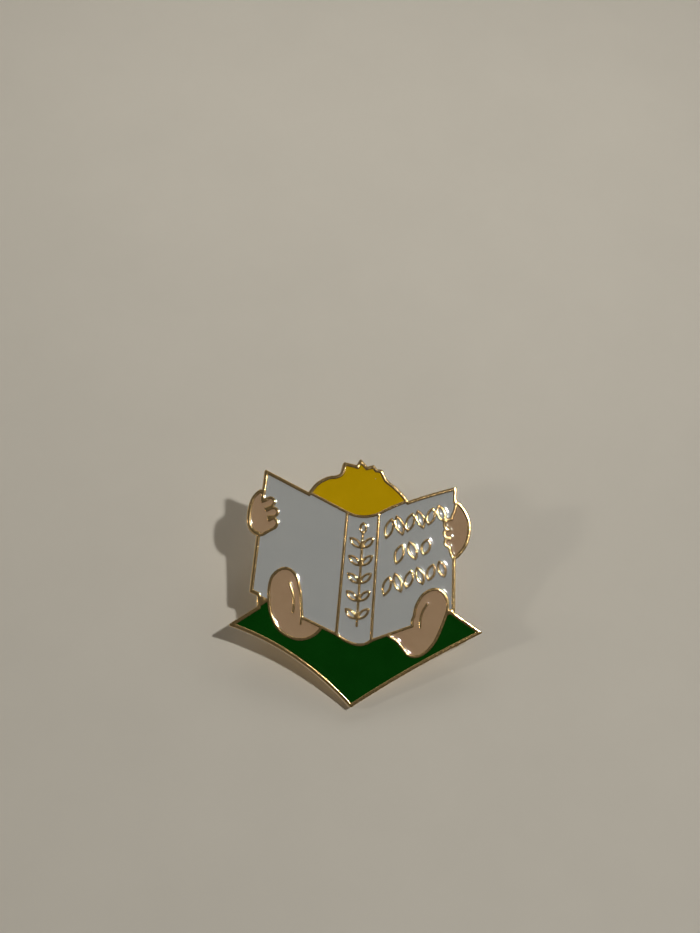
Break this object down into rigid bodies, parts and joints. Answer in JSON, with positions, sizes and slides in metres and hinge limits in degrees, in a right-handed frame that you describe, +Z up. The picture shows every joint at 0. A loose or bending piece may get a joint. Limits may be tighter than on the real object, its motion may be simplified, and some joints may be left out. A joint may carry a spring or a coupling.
{
  "type": "enamel pin",
  "caption": "Soft enamel pin showing a small reader behind a large open book on a mat, with pointed posts and butterfly clutches on its back.",
  "frame": {"origin": "on the plate's flat back, midway between the two posts", "axes": "+Y out of the back along the posts, +Z up and +X to the right as the face is seen, the face looking along -Y"},
  "size_m": [0.0299, 0.0087, 0.0293],
  "materials": {
    "gold_plate": "polished gold plating on a struck plate, its back lightly textured",
    "enamel_yellow": "glossy soft enamel, golden yellow",
    "enamel_white": "glossy soft enamel, cool white",
    "enamel_skin": "glossy soft enamel, peach",
    "enamel_green": "glossy soft enamel, deep green",
    "post_brass": "plated drawn wire",
    "solder": "bright tin solder",
    "clutch_brass": "plated drawn sheet",
    "spring_brass": "plated spring sheet"
  },
  "bodies": {
    "root": {"base_plate": "gold_plate", "enamel_hair": "enamel_yellow", "enamel_cover_left": "enamel_white", "enamel_spine": "enamel_white", "enamel_cover_right": "enamel_white", "enamel_hand_left": "enamel_skin", "enamel_hand_right": "enamel_skin", "enamel_foot_left": "enamel_skin", "enamel_foot_right": "enamel_skin", "enamel_mat": "enamel_green", "post_left": "post_brass", "post_right": "post_brass", "solder_left": "solder", "solder_right": "solder"},
    "clutch_left": {"cup_left": "clutch_brass"},
    "cover_left": {"cover_left": "clutch_brass"},
    "wing_left_outer": {"wing_left_outer": "spring_brass"},
    "wing_left_inner": {"wing_left_inner": "spring_brass"},
    "clutch_right": {"cup_right": "clutch_brass"},
    "cover_right": {"cover_right": "clutch_brass"},
    "wing_right_outer": {"wing_right_outer": "spring_brass"},
    "wing_right_inner": {"wing_right_inner": "spring_brass"}
  },
  "joints": [
    {"name": "clutch_left_slide", "type": "slide", "parent": "root", "child": "clutch_left", "axis": [0, 1, 0], "range_m": [-0.0015, 0.009]},
    {"name": "cover_left_turn", "type": "hinge", "parent": "clutch_left", "child": "cover_left", "pos_m": [-0.0062, 0.00205, 0], "axis": [0, 1, 0], "continuous": true},
    {"name": "wing_left_outer_pinch", "type": "hinge", "parent": "cover_left", "child": "wing_left_outer", "pos_m": [-0.0091, 0.0042, 0], "axis": [0, 0, -1], "range_deg": [0, 12], "stiffness_Nm_per_rad": 0.005},
    {"name": "wing_left_inner_pinch", "type": "hinge", "parent": "cover_left", "child": "wing_left_inner", "pos_m": [-0.0033, 0.0042, 0], "axis": [0, 0, 1], "range_deg": [0, 12], "stiffness_Nm_per_rad": 0.005},
    {"name": "clutch_right_slide", "type": "slide", "parent": "root", "child": "clutch_right", "axis": [0, 1, 0], "range_m": [-0.0015, 0.009]},
    {"name": "cover_right_turn", "type": "hinge", "parent": "clutch_right", "child": "cover_right", "pos_m": [0.0062, 0.00205, 0], "axis": [0, 1, 0], "continuous": true},
    {"name": "wing_right_outer_pinch", "type": "hinge", "parent": "cover_right", "child": "wing_right_outer", "pos_m": [0.0091, 0.0042, 0], "axis": [0, 0, 1], "range_deg": [0, 12], "stiffness_Nm_per_rad": 0.005},
    {"name": "wing_right_inner_pinch", "type": "hinge", "parent": "cover_right", "child": "wing_right_inner", "pos_m": [0.0033, 0.0042, 0], "axis": [0, 0, -1], "range_deg": [0, 12], "stiffness_Nm_per_rad": 0.005}
  ],
  "couplings": [
    {"joint": "wing_left_inner_pinch", "follows": "wing_left_outer_pinch", "ratio": 1},
    {"joint": "wing_right_inner_pinch", "follows": "wing_right_outer_pinch", "ratio": 1}
  ]
}
